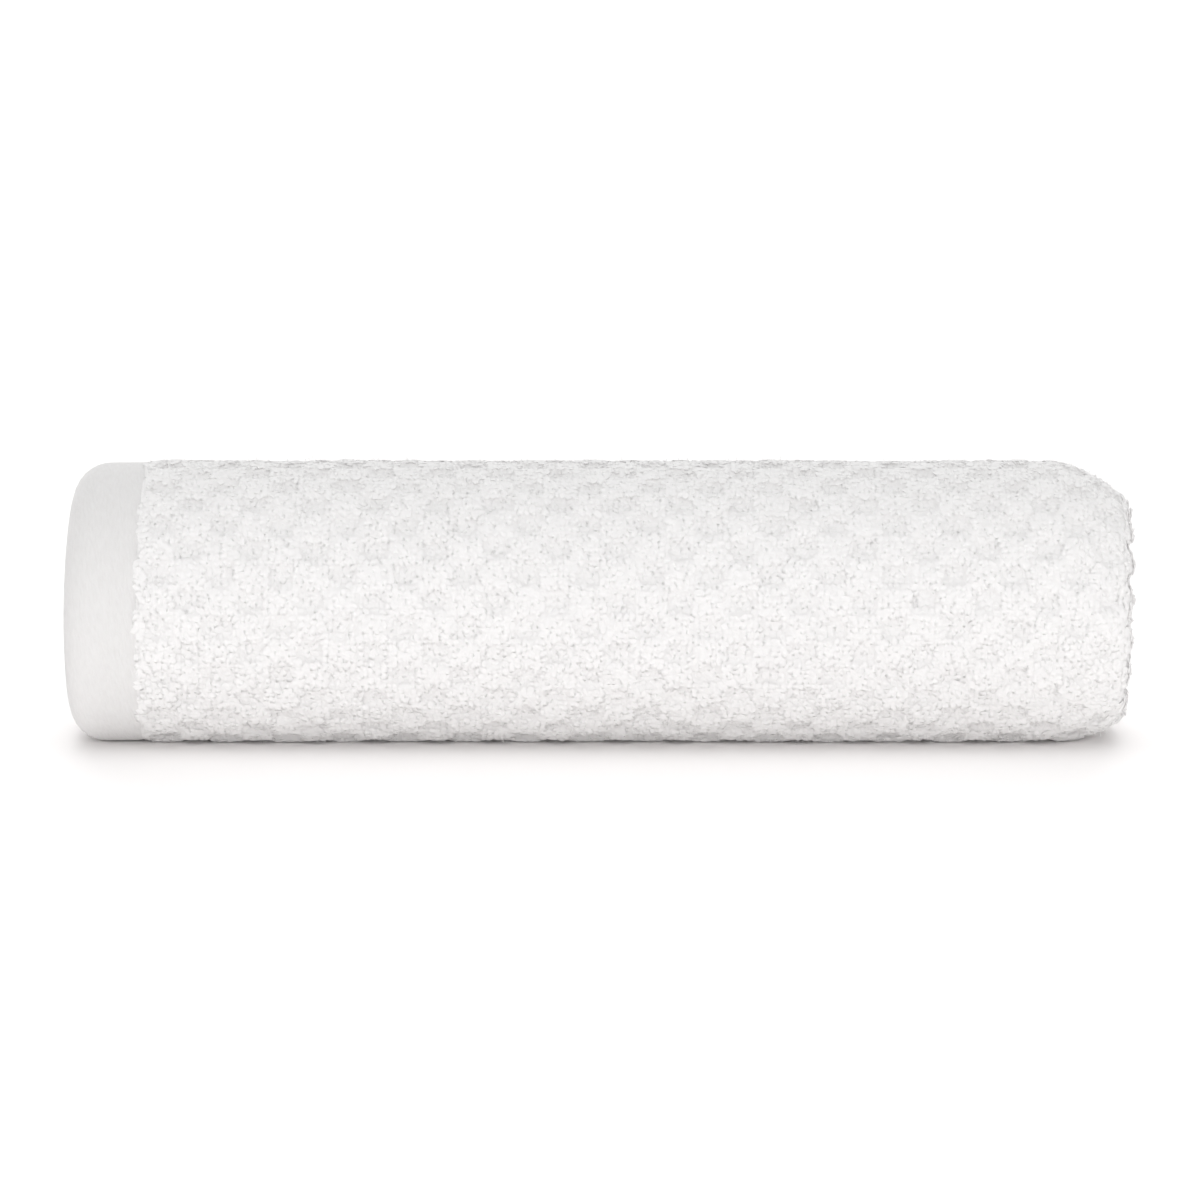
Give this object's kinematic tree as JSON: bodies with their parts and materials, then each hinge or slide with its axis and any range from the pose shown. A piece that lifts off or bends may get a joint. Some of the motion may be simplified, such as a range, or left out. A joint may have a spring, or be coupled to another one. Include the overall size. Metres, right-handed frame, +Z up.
{
  "type": "rolled hand towel",
  "caption": "Cotton terry hand towel with a checkered raised pile and a flat woven hem, folded in three and rolled up.",
  "frame": {"origin": "on the surface that the roll rests on, under the middle of its bounding box", "axes": "+X along the roll from the hem end to the folded end, +Z up, and the side without the loose edge faces -Y"},
  "size_m": [0.3044, 0.0778, 0.0798],
  "materials": {
    "terry_cotton": "white cotton terry, matt and soft"
  },
  "bodies": {
    "root": {"rolled_towel": "terry_cotton"}
  },
  "joints": []
}
